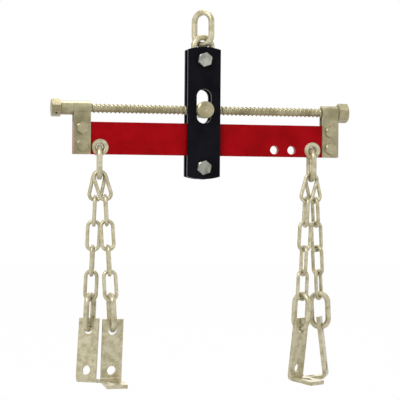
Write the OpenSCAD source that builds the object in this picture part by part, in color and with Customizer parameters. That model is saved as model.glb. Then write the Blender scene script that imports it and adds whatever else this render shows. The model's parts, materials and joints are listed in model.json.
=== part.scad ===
// Adjustable spreader beam (load leveller) that hangs from a hoist hook.
// Frame: +X along the beam away from the drive head, -Y to the front, +Z up.
// Origin: the hook's seat, at the inside top of the upper lifting link.

/* [Beam] */
// Length of the flat bar
beam_len = 406; // [330:1:500]
// Height of the flat bar
beam_h = 48; // [40:0.5:60]
// Thickness of the flat bar
beam_t = 10; // [8:0.5:12]
// Chamfer on the bar's long edges
beam_chamfer = 0.8; // [0.3:0.1:1.5]
// Chain hole's distance from the bar's end
chain_hole_in = 40; // [36:1:60]
// Chain hole's height above the bar's underside
chain_hole_up = 10.3; // [9.5:0.1:14]
// Diameter of the spare holes
spare_hole_d = 12.7; // [9:0.1:14]
// Distance from the chain hole to the first spare hole
spare_hole_in = 33; // [26:1:45]
// Distance between the spare holes
spare_hole_step = 27; // [18:1:40]
// How far the beam's middle stands to the right of the plates at rest
beam_shift = 8; // [-60:1:60]

/* [Hole bushes] */
// Bore of the bush that lines a chain hole
bush_bore_d = 11.2; // [11:0.1:12.7]
// Wall of the bush's neck
bush_wall = 1.6; // [1.2:0.1:2]
// Diameter of the bush's flanges
bush_flange_d = 25; // [22:0.5:26]
// Thickness of each flange
bush_flange_t = 1.5; // [1.2:0.1:1.8]
// Radius of the bush's rounded mouths
bush_mouth_r = 3; // [2:0.1:3.2]

/* [Screw] */
// Outside diameter of the screw
screw_d = 14; // [12:0.2:15]
// Depth of the thread
thread_depth = 1.45; // [0.8:0.05:1.8]
// Pitch of the thread
thread_pitch = 6.35; // [5:0.05:8]
// Height of the screw's axis above the beam's top edge
screw_up = 20; // [18:0.5:24]
// Diameter of the turned-down ends
spigot_d = 11.6; // [10:0.1:11.8]

/* [Screw ends] */
// Width across flats of the drive head
head_af = 23.5; // [21:0.5:25]
// Length of the drive head
head_len = 14; // [12:0.5:20]
// Diameter of the spring pin through the drive head
pin_d = 6; // [4:0.5:7]
// Bore of the spring pin
pin_bore_d = 3.6; // [2:0.1:3.8]
// Length of the spacer sleeve beside the drive head
sleeve_len = 18; // [12:0.5:26]
// Outside diameter of the spacer sleeve
sleeve_d = 20.5; // [18:0.5:22]
// Width across flats of the end nut
end_nut_af = 26; // [24:0.5:28]
// Length of the end nut
end_nut_len = 15.5; // [12:0.5:20]

/* [Straps] */
// Width of each strap along the beam
strap_w = 25.4; // [20:0.2:28]
// Thickness of the straps
strap_t = 3.5; // [2.5:0.1:4]
// Diameter of the strap bolts
strap_bolt_d = 9.5; // [8:0.5:10]
// Width across flats of the strap bolts' heads and nuts
strap_bolt_af = 15.9; // [13:0.1:17]
// Depth of the upper strap bolt below the beam's top edge
strap_bolt_down = 9.5; // [8.5:0.5:12]
// Distance between the two bolts of a strap
strap_bolt_step = 25.5; // [20:0.5:30]

/* [Side plates] */
// Width of the side plates
plate_w = 50; // [46:0.5:60]
// Thickness of the side plates
plate_t = 5; // [4:0.5:6]
// Gap between the side plates
plate_gap = 16; // [15.6:0.1:20]
// Height of the plate's rounded top end above its top bolt
plate_above = 19.5; // [16:0.5:24]
// Depth of the plate's rounded lower end below its lower bolt
plate_below = 17.2; // [16:0.1:24]
// Radius of the arched plate ends
plate_end_r = 80; // [60:1:150]
// Distance from the top bolt down to the screw
bolt_to_screw = 75; // [70:0.5:90]
// Height of the slot above the screw's axis
slot_above = 31.5; // [26:0.5:36]
// Depth of the slot below the screw's axis
slot_below = 19.9; // [17:0.1:22]
// Side clearance of the trunnion nut in the slot
slot_side_gap = 0.8; // [0.4:0.1:1.5]

/* [Carriage] */
// Diameter of the two carriage bolts
bolt_d = 12; // [10:0.5:14]
// Width across flats of the carriage bolts
bolt_af = 19; // [17:0.5:21]
// Thickness of the carriage bolts' heads
bolt_head_t = 7.5; // [6:0.5:9]
// Thickness of the carriage bolts' nuts
bolt_nut_t = 10; // [8:0.5:12]
// Diameter of the spacer on the top bolt
top_spacer_d = 18; // [16:0.5:20]
// Diameter of the sleeve that the roller turns on
roller_sleeve_d = 16; // [15:0.5:20]
// Diameter of the roller that carries the beam
roller_d = 35.4; // [30:0.2:40]
// Diameter of the trunnion nut's head
trunnion_d = 25.4; // [24:0.2:28]
// Diameter of the trunnion nut's body, which passes through the slots
trunnion_body_d = 21; // [19.5:0.1:22]
// How far the trunnion nut's head stands out of the front plate
trunnion_out = 12.5; // [8:0.5:16]
// How far the trunnion nut's body stands out of the back plate
trunnion_back = 8; // [4:0.5:12]
// Depth of the dimple in the trunnion nut's faces
dimple_depth = 1.2; // [0.5:0.1:2]

/* [Lifting links] */
// Length of a lifting link
lift_len = 57.5; // [54:0.5:70]
// Width of a lifting link
lift_w = 38; // [37:0.5:42]
// Wire diameter of the lifting links
lift_d = 9; // [8:0.1:9.4]
// How much higher the lower link nests because it crosses the upper one at a slant
lift_nest = 1.7; // [0:0.05:4]
// Turn of the upper lifting link about the vertical
upper_link_yaw = -42; // [-50:0.5:-42]
// Turn of the lower lifting link about the vertical
lower_link_yaw = 11; // [11:0.5:13]

/* [Chains] */
// Wire diameter of the small links
small_d = 5.5; // [5:0.1:6]
// Length of the small links
small_len = 48.5; // [44:0.5:56]
// Width of the small links
small_w = 23; // [22:0.5:26]
// Wire diameter of the large links
large_d = 8.5; // [8:0.1:9]
// Length of the large links at the brackets
large_len = 59.5; // [56:0.5:70]
// Width of the large links
large_w = 34; // [33.5:0.5:38]
// Length of the large links at the beam
beam_link_len = 53; // [51:0.5:60]
// Space between the two strands' wires where they share a link
strand_gap = 0.6; // [0.4:0.1:1]
// Angle at which each strand hangs forwards or backwards, clear of its neighbour
strand_clear = 3; // [2:0.1:3.5]

/* [Angle brackets] */
// Width of the angle brackets
bracket_w = 31; // [28:0.5:36]
// Thickness of the angle brackets
bracket_t = 5.5; // [4:0.5:6]
// Length of the leg
bracket_leg = 95; // [80:1:110]
// Length of the foot
bracket_foot = 46; // [38:1:56]
// Outer radius of the bend
bracket_bend_r = 8; // [6.5:0.5:10]
// Diameter of the bracket's holes
bracket_hole_d = 13.5; // [12.5:0.1:14]
// Upper hole's distance from the leg's end
bracket_hole_top = 17; // [15:0.5:20]
// Lower hole's distance from the foot's underside
bracket_hole_low = 18; // [17:0.5:24]
// Foot hole's distance from the leg's outer face
bracket_hole_foot = 26; // [20:0.5:30]

/* [Clearances] */
// Space between pieces that turn or slide on each other
run_gap = 0.3; // [0.25:0.05:0.5]
// Space between chain links that bear on each other
link_gap = 0.4; // [0.3:0.05:0.6]
// Space between a bracket's hole and the wire it hangs on
bracket_gap = 1.8; // [1.7:0.1:2.2]
// Radial space in a hole that a fixed piece fills
fit_gap = 0.05; // [0.03:0.01:0.1]
// Radial space round a bolt's shank
bolt_gap = 0.25; // [0.2:0.05:0.5]

/* [Hidden] */
$fn = 64;
thread_sides = 12; // straight steps in each turn of the thread

// heights, from the hook's seat down
upper_top = lift_d / 2;
upper_bottom = upper_top - (lift_len - lift_d);
lower_top = upper_bottom + lift_d + link_gap + lift_nest;
lower_bottom = lower_top - (lift_len - lift_d);
top_bolt_z = lower_bottom + lift_d / 2 + run_gap + top_spacer_d / 2;
screw_z = top_bolt_z - bolt_to_screw;
beam_top = screw_z - screw_up;
beam_bottom = beam_top - beam_h;
low_bolt_z = beam_bottom - run_gap - roller_d / 2;
chain_hole_z = beam_bottom + chain_hole_up;

// places along the beam and across it
hole_x = beam_len / 2 - chain_hole_in;
strap_x = beam_len / 2 - strap_w / 2;
thread_half = beam_len / 2 - strap_w;
sleeve_x = -beam_len / 2 - run_gap - sleeve_len;
head_x = sleeve_x - run_gap - head_len;
end_nut_x = beam_len / 2 + run_gap;
strap_bolt_z = [beam_top - strap_bolt_down, beam_top - strap_bolt_down - strap_bolt_step];
strap_in_r = screw_d / 2 + bolt_gap;
strap_face = beam_t / 2 + strap_t;
plate_in = plate_gap / 2;
plate_face = plate_in + plate_t;
bush_half = beam_t / 2 + bush_flange_t;

// the link in a chain hole bears on the bush's rounded mouths
beam_link_in_r = large_w / 2 - large_d;
beam_link_arc_r = (large_w - large_d) / 2;
bush_reach = beam_link_in_r - link_gap - bush_mouth_r;
beam_link_centre = -(bush_bore_d / 2 + bush_mouth_r)
    - sqrt(pow(bush_reach, 2) - pow(bush_half - bush_mouth_r, 2));
beam_link_top = chain_hole_z + beam_link_centre + beam_link_arc_r;
beam_link_bottom = beam_link_top - (beam_link_len - large_d);
strand_y = (small_d + strand_gap) / 2;
// the two strands bear on the lower bend's flanks, side by side
strand_angle = asin(strand_y / (beam_link_arc_r - (large_d + small_d) / 2 - link_gap));
strand_pivot_z = beam_link_bottom + beam_link_arc_r * (1 - cos(strand_angle));
strand_rise = ((large_d + small_d) / 2 + link_gap) * cos(strand_angle);
beam_link_yaw = [82, 90]; // left and right, about the vertical

// one row per strand: [name, side, front or back, first lean, lean, yaws, foot yaw, bracket lean]
// leans are from the vertical towards +X, yaws turn about the vertical
STRANDS = [
    ["left_outer", -1, 1, -12, -1.8, [0, 80, -8, 74, -28, 58], 148, 7],
    ["left_inner", -1, -1, 18, 3.2, [0, 84, -4, 86, -2, 94], 4, 7],
    ["right_inner", 1, -1, -16, -3.2, [0, 92, 6, 98, 24, -54], 36, 7],
    ["right_outer", 1, 1, 13, 4, [0, 100, 22, 124, 50, -24], -114, 7]
];
NAME = 0;
SIDE = 1;
FRONT = 2;
FIRST_LEAN = 3;
LEAN = 4;
YAWS = 5;
FOOT_YAW = 6;
BRACKET_LEAN = 7;
LAST = 5; // number of the large link at a strand's end, counted from 0

// ---- shared shapes ----

// a hexagonal prism on the X axis from x to x + len, chamfered at the given ends
module hex_x(x, len, af, chamfer_low = true, chamfer_high = true) {
    corner = af / sqrt(3);
    ease = 0.16 * (corner - af / 2) + corner - af / 2;
    intersection() {
        translate([x, 0, 0]) rotate([0, 90, 0]) cylinder(r = corner, h = len, $fn = 6);
        rotate([0, 90, 0]) rotate_extrude() polygon([
            [0, x], [chamfer_low ? corner - ease : corner + 1, x],
            [corner + (chamfer_low ? 0.01 : 1), x + (chamfer_low ? ease * 0.6 : 0)],
            [corner + (chamfer_high ? 0.01 : 1), x + len - (chamfer_high ? ease * 0.6 : 0)],
            [chamfer_high ? corner - ease : corner + 1, x + len], [0, x + len]
        ]);
    }
}

// a cylinder along the Y axis from y to y + len
module rod_y(y, len, d) {
    translate([0, y + len, 0]) rotate([90, 0, 0]) cylinder(d = d, h = len);
}

// a cylinder along the X axis from x to x + len
module rod_x(x, len, d) {
    translate([x, 0, 0]) rotate([0, 90, 0]) cylinder(d = d, h = len);
}

// a hexagon bolt along +Y: its head is in front of y and its shank runs back from there
module bolt_y(y, d, af, head_t, shank) {
    rotate([0, 0, 90]) hex_x(y - head_t, head_t, af, true, false);
    rod_y(y, shank, d);
}

// a hexagon nut along Y from y to y + t
module nut_y(y, d, af, t) {
    difference() {
        rotate([0, 0, 90]) hex_x(y, t, af, true, true);
        rod_y(y - 1, t + 2, d + 2 * fit_gap);
    }
}

// a tube along the Y axis, centred on it
module tube_y(len, d, bore) {
    difference() {
        rod_y(-len / 2, len, d);
        rod_y(-len / 2 - 1, len + 2, bore);
    }
}

// a chain link in the XZ plane, hanging from its top bend's middle at the origin
module chain_link(len, w, d) {
    r = (w - d) / 2;
    straight = len - d - 2 * r;
    translate([0, 0, -r]) rotate([90, 0, 0])
        rotate_extrude(angle = 180) translate([r, 0]) circle(d = d);
    translate([0, 0, -r - straight]) rotate([90, 180, 0])
        rotate_extrude(angle = 180) translate([r, 0]) circle(d = d);
    for (side = [-1, 1])
        translate([side * r, 0, -r - straight]) cylinder(d = d, h = straight);
}

// ---- lifting links ----

module upper_lifting_link() {
    color("silver") translate([0, 0, upper_top]) rotate([0, 0, upper_link_yaw])
        chain_link(lift_len, lift_w, lift_d);
}

module lower_lifting_link() {
    color("silver") translate([0, 0, lower_top]) rotate([0, 0, lower_link_yaw])
        chain_link(lift_len, lift_w, lift_d);
}

// ---- carriage ----

// one side plate with arched ends, its two bolt holes and the trunnion's slot
module side_plate(y) {
    top = top_bolt_z + plate_above;
    bottom = low_bolt_z - plate_below;
    slot_r = trunnion_body_d / 2 + slot_side_gap;
    difference() {
        intersection() {
            translate([-plate_w / 2, y, bottom]) cube([plate_w, plate_t, top - bottom]);
            translate([0, 0, top - plate_end_r]) union() {
                rod_y(y - 1, plate_t + 2, 2 * plate_end_r);
                translate([-plate_w, y - 1, bottom - top])
                    cube([2 * plate_w, plate_t + 2, top - bottom]);
            }
            translate([0, 0, bottom + plate_end_r]) union() {
                rod_y(y - 1, plate_t + 2, 2 * plate_end_r);
                translate([-plate_w, y - 1, 0]) cube([2 * plate_w, plate_t + 2, top - bottom]);
            }
        }
        for (z = [top_bolt_z, low_bolt_z])
            translate([0, 0, z]) rod_y(y - 1, plate_t + 2, bolt_d + 2 * bolt_gap);
        for (z = [screw_z + slot_above - slot_r, screw_z - slot_below + slot_r])
            translate([0, 0, z]) rod_y(y - 1, plate_t + 2, 2 * slot_r);
        translate([-slot_r, y - 1, screw_z - slot_below + slot_r])
            cube([2 * slot_r, plate_t + 2, slot_above + slot_below - 2 * slot_r]);
    }
}

module front_plate() {
    color("black") side_plate(-plate_face);
}

module back_plate() {
    color("black") side_plate(plate_in);
}

// a bolt through both plates, seen from its head at the front
module carriage_bolt(z) {
    color("silver") translate([0, 0, z]) rotate([0, 11, 0])
        bolt_y(-plate_face, bolt_d, bolt_af, bolt_head_t, 2 * plate_face + bolt_nut_t + 3);
}

module carriage_nut(z) {
    color("silver") translate([0, 0, z]) nut_y(plate_face, bolt_d, bolt_af, bolt_nut_t);
}

module top_bolt() carriage_bolt(top_bolt_z);

module top_nut() carriage_nut(top_bolt_z);

module lower_bolt() carriage_bolt(low_bolt_z);

module lower_nut() carriage_nut(low_bolt_z);

module top_spacer() {
    color("silver") translate([0, 0, top_bolt_z])
        tube_y(plate_gap, top_spacer_d, bolt_d + 2 * bolt_gap);
}

module roller_sleeve() {
    color("silver") translate([0, 0, low_bolt_z])
        tube_y(plate_gap, roller_sleeve_d, bolt_d + 2 * bolt_gap);
}

module beam_roller() {
    color("dimgray") translate([0, 0, low_bolt_z])
        tube_y(plate_gap - 2 * run_gap, roller_d, roller_sleeve_d + 2 * run_gap);
}

// a headed round bar across the plates, bored crosswise for the screw
module trunnion_nut() {
    front = -plate_face - trunnion_out;
    back = plate_face + trunnion_back;
    head_r = trunnion_d / 2;
    body_r = trunnion_body_d / 2;
    rim = 2.2;
    color("tan") translate([0, 0, screw_z]) difference() {
        rotate([-90, 0, 0]) rotate_extrude() polygon([
            [0, front + dimple_depth], [dimple_depth * 1.6, front], [head_r - rim, front],
            [head_r, front + rim * 0.6], [head_r, -plate_face - run_gap],
            [body_r, -plate_face - run_gap], [body_r, back - 1], [body_r - 1, back], [0, back]
        ]);
        rod_x(-trunnion_d, 2 * trunnion_d, screw_d + 3 * run_gap);
    }
}

// ---- beam ----

module beam() {
    c = beam_chamfer;
    y = beam_t / 2;
    color("firebrick") translate([beam_shift, 0, 0]) difference() {
        translate([-beam_len / 2, 0, 0]) rotate([90, 0, 90]) linear_extrude(beam_len) polygon([
            [-y + c, beam_bottom], [y - c, beam_bottom], [y, beam_bottom + c],
            [y, beam_top - c], [y - c, beam_top], [-y + c, beam_top],
            [-y, beam_top - c], [-y, beam_bottom + c]
        ]);
        for (side = [-1, 1]) {
            translate([side * hole_x, 0, chain_hole_z])
                rod_y(-beam_t, 2 * beam_t, bush_bore_d + 2 * bush_wall + 2 * fit_gap);
            for (z = strap_bolt_z)
                translate([side * strap_x, 0, z])
                    rod_y(-beam_t, 2 * beam_t, strap_bolt_d + 2 * bolt_gap);
        }
        for (n = [0, 1])
            translate([hole_x - spare_hole_in - n * spare_hole_step, 0, chain_hole_z])
                rod_y(-beam_t, 2 * beam_t, spare_hole_d);
    }
}

// a flanged bush that lines a chain hole, with rounded mouths
module hole_bush(side) {
    bore_r = bush_bore_d / 2;
    neck_r = bore_r + bush_wall;
    flange_r = bush_flange_d / 2;
    ease = bush_flange_t * 0.45;
    color("khaki") translate([beam_shift + side * hole_x, 0, chain_hole_z]) rotate([90, 0, 0])
        rotate_extrude() intersection() {
            polygon([
                [bore_r, -bush_half], [flange_r - ease, -bush_half],
                [flange_r, ease - bush_half], [flange_r, -beam_t / 2],
                [neck_r, -beam_t / 2], [neck_r, beam_t / 2],
                [flange_r, beam_t / 2], [flange_r, bush_half - ease],
                [flange_r - ease, bush_half], [bore_r, bush_half]
            ]);
            // everything but the corners that the rounded mouths take away
            union() {
                translate([bore_r - 1, bush_mouth_r - bush_half])
                    square([flange_r, 2 * (bush_half - bush_mouth_r)]);
                translate([bore_r + bush_mouth_r, -bush_half - 1])
                    square([flange_r, 2 * bush_half + 2]);
                for (s = [-1, 1])
                    translate([bore_r + bush_mouth_r, s * (bush_half - bush_mouth_r)])
                        circle(r = bush_mouth_r);
            }
        }
}

module left_hole_bush() hole_bush(-1);

module right_hole_bush() hole_bush(1);

// a strap bent round the screw, with both legs bolted to the beam
module strap(side) {
    color("khaki") translate([beam_shift + side * strap_x - strap_w / 2, 0, 0]) difference() {
        union() {
            translate([0, 0, screw_z]) rod_x(0, strap_w, 2 * (strap_in_r + strap_t));
            translate([0, -strap_face, beam_bottom])
                cube([strap_w, 2 * strap_face, screw_z - beam_bottom - strap_in_r * 0.6]);
        }
        translate([0, 0, screw_z]) rod_x(-1, strap_w + 2, 2 * strap_in_r);
        translate([-1, -beam_t / 2, beam_bottom - 1])
            cube([strap_w + 2, beam_t, screw_z - beam_bottom + 1]);
        for (z = strap_bolt_z)
            translate([strap_w / 2, 0, z])
                rod_y(-2 * strap_face, 4 * strap_face, strap_bolt_d + 2 * bolt_gap);
    }
}

module left_strap() strap(-1);

module right_strap() strap(1);

// places its children at each of the four strap bolts
module at_strap_bolts() {
    for (side = [-1, 1])
        for (z = strap_bolt_z)
            translate([beam_shift + side * strap_x, 0, z]) children();
}

module strap_bolts() {
    shank = 2 * strap_face + 10;
    color("tan") at_strap_bolts() bolt_y(-strap_face, strap_bolt_d, strap_bolt_af, 6, shank);
}

module strap_nuts() {
    color("tan") at_strap_bolts() nut_y(strap_face, strap_bolt_d, strap_bolt_af, 8);
}

// ---- screw ----

// the threaded length as one closed surface between two helical lines, root and crest
module thread() {
    root = screw_d / 2 - thread_depth;
    crest = screw_d / 2 - thread_depth * 0.07;
    turns = floor(2 * thread_half / thread_pitch) + 1;
    steps = turns * thread_sides;
    start = -turns * thread_pitch / 2;
    // ring n lies along the helix: even rows are root points, odd rows are crest points
    function spot(n, odd) = let (
        a = n * 360 / thread_sides,
        r = odd ? crest : root,
        x = start + (n / thread_sides + (odd ? 0.5 : 0)) * thread_pitch
    ) [x, r * cos(a), r * sin(a)];
    root_row = [for (n = [0:steps]) spot(n, false)];
    crest_row = [for (n = [0:steps - thread_sides]) spot(n, true)];
    c0 = steps + 1;
    flanks = [for (n = [0:steps - thread_sides - 1]) each [
        [n, c0 + n + 1, n + 1], [n, c0 + n, c0 + n + 1],
        [c0 + n, n + thread_sides + 1, c0 + n + 1], [c0 + n, n + thread_sides, n + thread_sides + 1]
    ]];
    last = steps - thread_sides;
    // the ends close with a step face and a fan to the axis
    ends = [c0 + last + 1, c0 + last + 2];
    middle = [[start, 0, 0], [start + turns * thread_pitch, 0, 0]];
    first_cap = [for (n = [0:thread_sides - 1]) [ends[0], n, n + 1]];
    last_cap = [for (n = [0:thread_sides - 1]) [ends[1], last + n + 1, last + n]];
    steps_faces = [
        [0, thread_sides, c0], [ends[0], thread_sides, 0],
        [last, c0 + last, steps], [ends[1], last, steps]
    ];
    polyhedron(
        points = concat(root_row, crest_row, middle),
        faces = concat(flanks, first_cap, last_cap, steps_faces)
    );
}

module screw() {
    thread_turns = floor(2 * thread_half / thread_pitch) + 1;
    thread_end = thread_turns * thread_pitch / 2;
    root_d = 2 * (screw_d / 2 - thread_depth);
    left_end = sleeve_x - run_gap;
    right_end = end_nut_x;
    color("tan") translate([beam_shift, 0, screw_z]) {
        // the plain rod's collars reach over the thread's ends
        thread();
        rod_x(left_end, thread_pitch - thread_end - left_end, screw_d);
        rod_x(thread_end - thread_pitch, right_end - thread_end + thread_pitch, screw_d);
        difference() {
            rod_x(head_x, head_len, spigot_d);
            rotate([45, 0, 0]) translate([head_x + head_len / 2, 0, 0])
                rod_y(-screw_d, 2 * screw_d, pin_d + 2 * fit_gap);
        }
        rod_x(right_end, end_nut_len, spigot_d);
    }
}

module drive_head() {
    color("tan") translate([beam_shift, 0, screw_z]) difference() {
        rotate([15, 0, 0]) hex_x(head_x, head_len, head_af, true, true);
        rod_x(head_x - 1, head_len + 2, spigot_d + 2 * fit_gap);
        rotate([45, 0, 0]) translate([head_x + head_len / 2, 0, 0]) rotate([90, 37, 0])
            cylinder(d = pin_d + 2 * fit_gap, h = 2 * head_af, center = true);
    }
}

// a spring pin, slightly shorter than the head is wide
module drive_head_pin() {
    color("khaki") translate([beam_shift, 0, screw_z]) rotate([45, 0, 0])
        translate([head_x + head_len / 2, 0, 0]) tube_y(head_af - 1, pin_d, pin_bore_d);
}

module spacer_sleeve() {
    color("tan") translate([beam_shift, 0, screw_z]) difference() {
        rod_x(sleeve_x, sleeve_len, sleeve_d);
        rod_x(sleeve_x - 1, sleeve_len + 2, screw_d + 2 * bolt_gap);
    }
}

module end_nut() {
    color("tan") translate([beam_shift, 0, screw_z]) difference() {
        rotate([14, 0, 0]) hex_x(end_nut_x, end_nut_len, end_nut_af, false, true);
        rod_x(end_nut_x - 1, end_nut_len + 2, spigot_d + 2 * fit_gap);
    }
}

// ---- chains ----

module beam_link(side, yaw) {
    color("khaki") translate([beam_shift + side * hole_x, 0, beam_link_top]) rotate([0, 0, yaw])
        chain_link(beam_link_len, large_w, large_d);
}

module left_beam_link() beam_link(-1, beam_link_yaw[0]);

module right_beam_link() beam_link(1, beam_link_yaw[1]);

// link n's wire diameter, length and width in a strand
function link_d(n) = n == LAST ? large_d : small_d;
function link_len(n) = n == LAST ? large_len : small_len;
function link_w(n) = n == LAST ? large_w : small_w;

// a strand's first link leans across its beam link, the others along the beam and out of
// their neighbours' way
function turn(s, n) = n == 0 ? beam_link_yaw[s[SIDE] < 0 ? 0 : 1] - 90 : 0;
function lean(s, n) = n == 0 ? s[FIRST_LEAN] : s[LEAN];
function clear(s, n) = n == 0 ? 0 : s[FRONT] * strand_clear;

// the direction in which link n of a strand hangs
function hang(s, n) = n == 0
    ? [sin(lean(s, n)) * cos(turn(s, n)), sin(lean(s, n)) * sin(turn(s, n)), -cos(lean(s, n))]
    : [sin(lean(s, n)), cos(lean(s, n)) * sin(clear(s, n)), -cos(lean(s, n)) * cos(clear(s, n))];

function link_r(n) = (link_w(n) - link_d(n)) / 2;

// the point on the wire above that link n bears on and turns about
function link_pivot(s, n) = n == 0
    ? let (yaw = beam_link_yaw[s[SIDE] < 0 ? 0 : 1], y = s[FRONT] * strand_y)
        [beam_shift + s[SIDE] * hole_x + y * cos(yaw), y * sin(yaw), strand_pivot_z]
    : low_bend(s, n - 1) + link_r(n - 1)
        * (n == 1 ? [sin(lean(s, 1)), 0, -cos(lean(s, 1))] : hang(s, n));

// the middle of link n's top bend
function link_top(s, n) = link_pivot(s, n)
    - hang(s, n) * (n == 0 ? strand_rise : (link_d(n - 1) + link_d(n)) / 2 + link_gap);

// the centre that link n's lower bend curves about
function low_bend(s, n) = link_top(s, n) + hang(s, n) * (link_len(n) - link_d(n) - link_r(n));

module strand_link(s, n) {
    color("khaki") translate(link_top(s, n))
        rotate([clear(s, n), 0, turn(s, n)]) rotate([0, -lean(s, n), 0])
            rotate([0, 0, s[YAWS][n]])
            chain_link(link_len(n), link_w(n), link_d(n));
}

// an angle bracket whose upper hole's middle is at the origin, with its foot towards -Y
module bracket_shape() {
    low = bracket_hole_top - bracket_leg;
    y = bracket_t / 2;
    r_in = bracket_bend_r - bracket_t;
    difference() {
        rotate([90, 0, 90]) translate([0, 0, -bracket_w / 2]) linear_extrude(bracket_w) union() {
            translate([-y, low + bracket_bend_r])
                square([bracket_t, bracket_leg - bracket_bend_r]);
            translate([y - bracket_foot, low])
                square([bracket_foot - bracket_bend_r, bracket_t]);
            translate([y - bracket_bend_r, low + bracket_bend_r]) intersection() {
                difference() {
                    circle(r = bracket_bend_r);
                    circle(r = r_in);
                }
                translate([0, -bracket_bend_r]) square(bracket_bend_r);
            }
        }
        for (z = [0, low + bracket_hole_low])
            translate([0, 0, z]) rod_y(-bracket_t, 2 * bracket_t, bracket_hole_d);
        translate([0, y - bracket_hole_foot, low - 1]) cylinder(d = bracket_hole_d, h = bracket_t + 2);
    }
}

module strand_bracket(s) {
    drop = (bracket_hole_d - large_d) / 2 - bracket_gap;
    color("khaki") translate(link_pivot(s, LAST + 1))
        rotate([0, 0, s[FOOT_YAW]]) rotate([s[BRACKET_LEAN], 0, 0])
            translate([0, 0, -drop]) bracket_shape();
}

upper_lifting_link();
lower_lifting_link();
front_plate();
back_plate();
top_bolt();
top_nut();
top_spacer();
lower_bolt();
lower_nut();
roller_sleeve();
beam_roller();
trunnion_nut();
beam();
left_hole_bush();
right_hole_bush();
left_strap();
right_strap();
strap_bolts();
strap_nuts();
screw();
drive_head();
drive_head_pin();
spacer_sleeve();
end_nut();
left_beam_link();
right_beam_link();
for (s = STRANDS) {
    for (n = [0:LAST - 1])
        strand_link(s, n);
    strand_link(s, LAST);
    strand_bracket(s);
}
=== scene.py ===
import json
import math

import bpy
from mathutils import Matrix, Vector


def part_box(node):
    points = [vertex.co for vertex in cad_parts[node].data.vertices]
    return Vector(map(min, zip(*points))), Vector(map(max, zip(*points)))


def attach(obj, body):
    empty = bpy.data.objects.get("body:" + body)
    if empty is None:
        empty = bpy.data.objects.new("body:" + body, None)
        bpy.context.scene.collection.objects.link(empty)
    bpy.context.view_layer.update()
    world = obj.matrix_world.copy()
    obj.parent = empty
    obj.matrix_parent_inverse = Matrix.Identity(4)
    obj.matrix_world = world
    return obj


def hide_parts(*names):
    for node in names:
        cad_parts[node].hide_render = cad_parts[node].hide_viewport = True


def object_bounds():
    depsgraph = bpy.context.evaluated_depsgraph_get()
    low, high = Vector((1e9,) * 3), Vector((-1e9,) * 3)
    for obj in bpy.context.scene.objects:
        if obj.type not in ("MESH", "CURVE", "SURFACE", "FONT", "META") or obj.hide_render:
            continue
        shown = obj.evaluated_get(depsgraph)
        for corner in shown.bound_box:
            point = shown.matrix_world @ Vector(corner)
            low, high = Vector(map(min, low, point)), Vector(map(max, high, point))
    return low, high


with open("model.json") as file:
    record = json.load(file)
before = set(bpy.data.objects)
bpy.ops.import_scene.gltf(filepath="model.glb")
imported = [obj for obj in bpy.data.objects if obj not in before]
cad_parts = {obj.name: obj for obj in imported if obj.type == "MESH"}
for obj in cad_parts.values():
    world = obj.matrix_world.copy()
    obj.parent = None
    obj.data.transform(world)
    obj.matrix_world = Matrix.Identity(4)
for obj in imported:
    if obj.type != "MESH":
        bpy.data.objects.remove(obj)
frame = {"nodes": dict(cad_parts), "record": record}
cad_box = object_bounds()
nodes = frame["nodes"]


# ---------------------------------------------------------------- materials

# gloss patches are this much finer than colour patches
GLOSS_FINER = 2.3
# how deep the surface grain is, in metres
GRAIN_DEPTH = 0.0004


def node(tree, kind, **inputs):
    """A new node with some of its inputs set. An underscore in a name stands for a space."""
    made = tree.nodes.new(kind)
    for key, value in inputs.items():
        made.inputs[key.replace("_", " ")].default_value = value
    return made


def noise(tree, vector, scale, detail=4.0, rough=0.55):
    cloud = node(tree, "ShaderNodeTexNoise", Scale=scale, Detail=detail, Roughness=rough)
    tree.links.new(vector, cloud.inputs["Vector"])
    return cloud.outputs["Fac"]


def ramp(tree, fac, stops):
    """Colours along a 0 to 1 value: stops is a list of (position, colour)."""
    made = tree.nodes.new("ShaderNodeValToRGB")
    band = made.color_ramp
    while len(band.elements) < len(stops):
        band.elements.new(0.5)
    for element, (position, colour) in zip(band.elements, stops):
        element.position = position
        element.color = (*colour, 1.0)
    tree.links.new(fac, made.inputs["Fac"])
    return made.outputs["Color"]


def spread(tree, fac, low, high, start=0.3, end=0.7):
    """Maps the part of a noise between start and end onto low to high."""
    made = node(tree, "ShaderNodeMapRange", From_Min=start, From_Max=end, To_Min=low, To_Max=high)
    tree.links.new(fac, made.inputs["Value"])
    return made.outputs["Result"]


def finish_of(name, stops, metallic, rough, colour_scale, grain, bump, stretch=(1, 1, 1), shine=0.5):
    """A finish whose colour, gloss and surface all vary a little, in each piece's own space."""
    material = bpy.data.materials.new(name)
    material.use_nodes = True
    tree = material.node_tree
    shader = tree.nodes["Principled BSDF"]
    coords = tree.nodes.new("ShaderNodeTexCoord")
    mapping = node(tree, "ShaderNodeMapping", Scale=stretch)
    tree.links.new(coords.outputs["Object"], mapping.inputs["Vector"])
    place = mapping.outputs["Vector"]
    colour = ramp(tree, noise(tree, place, colour_scale), stops)
    gloss = spread(tree, noise(tree, place, colour_scale * GLOSS_FINER, 5.0), *rough)
    tree.links.new(colour, shader.inputs["Base Color"])
    tree.links.new(gloss, shader.inputs["Roughness"])
    shader.inputs["Metallic"].default_value = metallic
    shader.inputs["Specular IOR Level"].default_value = shine
    relief = node(tree, "ShaderNodeBump", Strength=bump, Distance=GRAIN_DEPTH)
    tree.links.new(noise(tree, place, grain, 6.0, 0.6), relief.inputs["Height"])
    tree.links.new(relief.outputs["Normal"], shader.inputs["Normal"])
    return material


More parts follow.
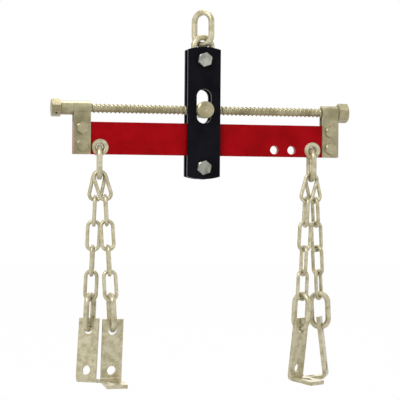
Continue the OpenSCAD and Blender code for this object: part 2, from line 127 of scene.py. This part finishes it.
PALE = finish_of(
    "pale_zinc",
    [(0.28, (0.36, 0.33, 0.20)), (0.45, (0.50, 0.45, 0.29)), (0.60, (0.64, 0.59, 0.42)),
     (0.72, (0.52, 0.45, 0.29))],
    0.55, (0.26, 0.42), 110, 900, 0.25)
YELLOW = finish_of(
    "yellow_zinc",
    [(0.30, (0.24, 0.21, 0.115)), (0.46, (0.33, 0.29, 0.165)), (0.60, (0.44, 0.40, 0.25)),
     (0.74, (0.36, 0.29, 0.175))],
    0.55, (0.24, 0.40), 40, 900, 0.25)
STEEL = finish_of(
    "machined_steel",
    [(0.32, (0.40, 0.39, 0.37)), (0.68, (0.62, 0.61, 0.58))],
    1.0, (0.22, 0.36), 60, 1400, 0.2, (1, 1, 6))
BLACK = finish_of(
    "black_paint",
    [(0.35, (0.002, 0.002, 0.004)), (0.65, (0.006, 0.006, 0.010))],
    0.0, (0.20, 0.32), 35, 420, 0.2, shine=0.06)
BOLT = finish_of(
    "bolt_zinc",
    [(0.30, (0.17, 0.175, 0.14)), (0.48, (0.34, 0.35, 0.30)), (0.66, (0.50, 0.51, 0.45))],
    0.55, (0.24, 0.40), 60, 800, 0.25)
RED = finish_of(
    "red_paint",
    [(0.35, (0.33, 0.0, 0.002)), (0.65, (0.43, 0.001, 0.005))],
    0.0, (0.22, 0.34), 30, 380, 0.2, shine=0.08)

BY_SLOT = {
    "zinc_pale": PALE, "zinc_yellow": YELLOW, "steel": STEEL,
    "black_paint": BLACK, "black_steel": BOLT, "zinc_grey": BOLT, "red_paint": RED,
}
slot_of = {s["node"]: s["material_slot"] for s in frame["record"]["subparts"]}
for name, obj in nodes.items():
    obj.data.materials.clear()
    obj.data.materials.append(BY_SLOT[slot_of[name]])


# ---------------------------------------------------------------- the screw

PITCH = 0.00635
THREAD_DEPTH = 0.00145
SPIGOT_R = 0.0058
EASE = 0.0006
# how far the thread reaches past the straps' inner faces, both ends together
THREAD_PAST_STRAPS = 0.024
CREST_ROUND = 0.00012
# the core is sunk under the thread's root and reaches past both of its ends
CORE_SUNK = 0.0002
CORE_PAST = 0.001
# plain collars cover the thread's two ends, then fall to the root
COLLAR_OVER = 0.004
COLLAR_END = 0.006
# the chamfered shoulders that the drive head and the end nut stand against
SHOULDER_GAP = 0.0001
SHOULDER_START = 0.0003
SHOULDER_TOP = 0.0008
SHOULDER_CHAMFER = 0.0004
TURNED_SIDES = 64
THREAD_SIDES = 48
SHARP_ANGLE_DEG = 35


def new_piece(name, verts, faces, material, body, slot, replaced):
    """A smooth-shaded mesh that rides a body and takes the place of some CAD nodes."""
    mesh = bpy.data.meshes.new(name)
    mesh.from_pydata(verts, [], faces)
    mesh.update()
    obj = bpy.data.objects.new(name, mesh)
    bpy.context.scene.collection.objects.link(obj)
    mesh.materials.append(material)
    for polygon in mesh.polygons:
        polygon.use_smooth = True
    mesh.set_sharp_from_angle(angle=math.radians(SHARP_ANGLE_DEG))
    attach(obj, body)
    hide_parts(*replaced)
    return obj


def turned(profile, axis_y, axis_z, sides=TURNED_SIDES):
    """A surface turned about a line along X: profile is a list of (x, radius)."""
    verts, faces = [], []
    for x, radius in profile:
        for k in range(sides):
            angle = 2 * math.pi * k / sides
            verts.append((x, axis_y + radius * math.cos(angle), axis_z + radius * math.sin(angle)))
    for i in range(len(profile) - 1):
        for k in range(sides):
            n = (k + 1) % sides
            faces.append((i * sides + k, i * sides + n, (i + 1) * sides + n, (i + 1) * sides + k))
    faces.append(tuple(range(sides)))
    faces.append(tuple(range(len(profile) * sides - 1, (len(profile) - 1) * sides - 1, -1)))
    return verts, faces


def thread(start, end, root, crest, axis_y, axis_z, sides=THREAD_SIDES):
    """A right-hand thread with a narrow crest and a rounded root."""
    # each point is (share of the pitch, radius)
    form = [(0.0, root), (0.40, root), (0.60, crest - CREST_ROUND), (0.66, crest),
            (0.74, crest), (0.80, crest - CREST_ROUND)]
    steps = int((end - start) / PITCH) * sides
    width = len(form)
    verts, faces = [], []
    for i in range(steps + 1):
        angle = 2 * math.pi * i / sides
        for share, radius in form:
            verts.append((start + (i / sides + share) * PITCH,
                          axis_y + radius * math.cos(angle), axis_z + radius * math.sin(angle)))
    for i in range(steps):
        for j in range(width):
            here, up = i * width + j, (i + 1) * width + j
            if j < width - 1:
                faces.append((here, here + 1, up + 1, up))
            elif i + 1 + sides <= steps:
                faces.append((here, (i + sides) * width, (i + 1 + sides) * width, up))
    return verts, faces


def joined(*parts):
    """Several (verts, faces) pairs as one."""
    verts, faces = [], []
    for part_verts, part_faces in parts:
        base = len(verts)
        verts += part_verts
        faces += [tuple(i + base for i in face) for face in part_faces]
    return verts, faces


def build_screw():
    """The screw rod with a fine thread: it ends in plain collars and turned-down spigots."""
    low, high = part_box("screw")
    axis_y, axis_z = (low[1] + high[1]) / 2, (low[2] + high[2]) / 2
    crest = (high[2] - low[2]) / 2
    root = crest - THREAD_DEPTH
    left_inner, right_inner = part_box("left_strap")[1][0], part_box("right_strap")[0][0]
    head_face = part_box("drive_head")[1][0]
    nut_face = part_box("end_nut")[0][0]
    span = math.floor((right_inner - left_inner + THREAD_PAST_STRAPS) / PITCH) * PITCH
    start = (left_inner + right_inner - span) / 2
    end = start + span
    core_r = root - CORE_SUNK
    shoulder_r = crest - SHOULDER_CHAMFER
    core = turned([(start - CORE_PAST, core_r), (end + CORE_PAST, core_r)], axis_y, axis_z)
    left_end = turned([
        (low[0], SPIGOT_R - EASE), (low[0] + EASE, SPIGOT_R),
        (head_face + SHOULDER_GAP, SPIGOT_R), (head_face + SHOULDER_START, shoulder_r),
        (head_face + SHOULDER_TOP, crest), (start + COLLAR_OVER, crest),
        (start + COLLAR_END, root)], axis_y, axis_z)
    right_end = turned([
        (end - COLLAR_END, root), (end - COLLAR_OVER, crest),
        (nut_face - SHOULDER_START, crest), (nut_face, shoulder_r), (nut_face, SPIGOT_R),
        (high[0] - EASE, SPIGOT_R), (high[0], SPIGOT_R - EASE)], axis_y, axis_z)
    helix = thread(start, end, root, crest, axis_y, axis_z)
    new_piece("threaded_screw", *joined(helix, core, left_end, right_end),
              YELLOW, "screw", "zinc_yellow", ["screw"])


build_screw()


# ---------------------------------------------------------------- floor, light, camera

FLOOR_DROP = 0.06
FLOOR_HALF = 6.0
FLOOR_GREY = 0.88
FLOOR_WHITE_SHARE = 0.985
WORLD_SOFT = 0.30
WORLD_BRIGHT = 1.0
WHITE = (1, 1, 1, 1)

CAMERA_TURN_DEG = 12.5
CAMERA_ROLL_DEG = 0.5
CAMERA_DISTANCE = 2.4
CAMERA_AIM_RIGHT = -0.0022
CAMERA_AIM_UP = -0.2768
CAMERA_LENS_MM = 144
CAMERA_SENSOR_MM = 36


def white_share(tree, share):
    """The share of white for rays from the camera, a mirror or glass, and 0 for all others."""
    path = tree.nodes.new("ShaderNodeLightPath")
    seen = path.outputs["Is Camera Ray"]
    for ray in ("Is Glossy Ray", "Is Transmission Ray"):
        either = tree.nodes.new("ShaderNodeMath")
        either.operation = "MAXIMUM"
        tree.links.new(seen, either.inputs[0])
        tree.links.new(path.outputs[ray], either.inputs[1])
        seen = either.outputs[0]
    scaled = tree.nodes.new("ShaderNodeMath")
    scaled.operation = "MULTIPLY"
    scaled.inputs[1].default_value = share
    tree.links.new(seen, scaled.inputs[0])
    return scaled.outputs[0]


def mix_to_output(tree, output_kind, share, plain, white):
    """Mixes a plain shader with a white one by white_share, into the tree's output."""
    mix = tree.nodes.new("ShaderNodeMixShader")
    out = tree.nodes.new(output_kind)
    tree.links.new(white_share(tree, share), mix.inputs["Fac"])
    tree.links.new(plain.outputs[0], mix.inputs[1])
    tree.links.new(white.outputs[0], mix.inputs[2])
    tree.links.new(mix.outputs[0], out.inputs["Surface"])


def build_floor():
    mesh = bpy.data.meshes.new("floor")
    s = FLOOR_HALF
    mesh.from_pydata([(-s, -s, 0), (s, -s, 0), (s, s, 0), (-s, s, 0)], [], [(0, 1, 2, 3)])
    floor = bpy.data.objects.new("floor", mesh)
    bpy.context.scene.collection.objects.link(floor)
    floor.location.z = cad_box[0][2] - FLOOR_DROP
    material = bpy.data.materials.new("floor_white")
    material.use_nodes = True
    tree = material.node_tree
    tree.nodes.clear()
    diffuse = node(tree, "ShaderNodeBsdfDiffuse", Color=(FLOOR_GREY, FLOOR_GREY, FLOOR_GREY, 1))
    glow = node(tree, "ShaderNodeEmission", Color=WHITE, Strength=1.0)
    mix_to_output(tree, "ShaderNodeOutputMaterial", FLOOR_WHITE_SHARE, diffuse, glow)
    mesh.materials.append(material)


def build_world():
    world = bpy.data.worlds.new("studio")
    bpy.context.scene.world = world
    world.use_nodes = True
    tree = world.node_tree
    tree.nodes.clear()
    soft = node(tree, "ShaderNodeBackground", Color=WHITE, Strength=WORLD_SOFT)
    bright = node(tree, "ShaderNodeBackground", Color=WHITE, Strength=WORLD_BRIGHT)
    mix_to_output(tree, "ShaderNodeOutputWorld", 1.0, soft, bright)


def lamp(name, place, target, size, power):
    data = bpy.data.lights.new(name, "AREA")
    data.shape = "RECTANGLE"
    data.size, data.size_y = size
    data.energy = power
    obj = bpy.data.objects.new(name, data)
    bpy.context.scene.collection.objects.link(obj)
    obj.location = place
    obj.rotation_euler = (Vector(target) - Vector(place)).to_track_quat("-Z", "Y").to_euler()


def build_lamps():
    middle = (0.0, 0.0, (cad_box[0][2] + cad_box[1][2]) / 2)
    lamp("key", (-1.1, -1.3, 1.0), middle, (0.9, 0.7), 22)
    lamp("fill", (1.7, -1.2, 0.1), middle, (1.2, 1.2), 4)
    lamp("top", (0.1, 0.4, 1.3), middle, (0.9, 0.7), 12)
    lamp("back", (0.6, 1.8, 0.4), middle, (1.2, 1.2), 5)


def build_camera():
    """A level camera in front, a little to the left, rolled by half a degree."""
    turn, roll = math.radians(CAMERA_TURN_DEG), math.radians(CAMERA_ROLL_DEG)
    away = Vector((math.sin(turn), math.cos(turn), 0))
    level_right = Vector((math.cos(turn), -math.sin(turn), 0))
    level_up = Vector((0, 0, 1))
    right = level_right * math.cos(roll) + level_up * math.sin(roll)
    up = level_up * math.cos(roll) - level_right * math.sin(roll)
    aim = level_right * CAMERA_AIM_RIGHT + Vector((0, 0, CAMERA_AIM_UP))
    place = aim - away * CAMERA_DISTANCE
    data = bpy.data.cameras.new("camera")
    data.lens = CAMERA_LENS_MM
    data.sensor_width = CAMERA_SENSOR_MM
    camera = bpy.data.objects.new("camera", data)
    bpy.context.scene.collection.objects.link(camera)
    camera.matrix_world = Matrix((
        (right.x, up.x, -away.x, place.x),
        (right.y, up.y, -away.y, place.y),
        (right.z, up.z, -away.z, place.z),
        (0, 0, 0, 1)))
    bpy.context.scene.camera = camera


build_floor()
build_world()
build_lamps()
build_camera()
bpy.context.scene.view_settings.view_transform = "Standard"
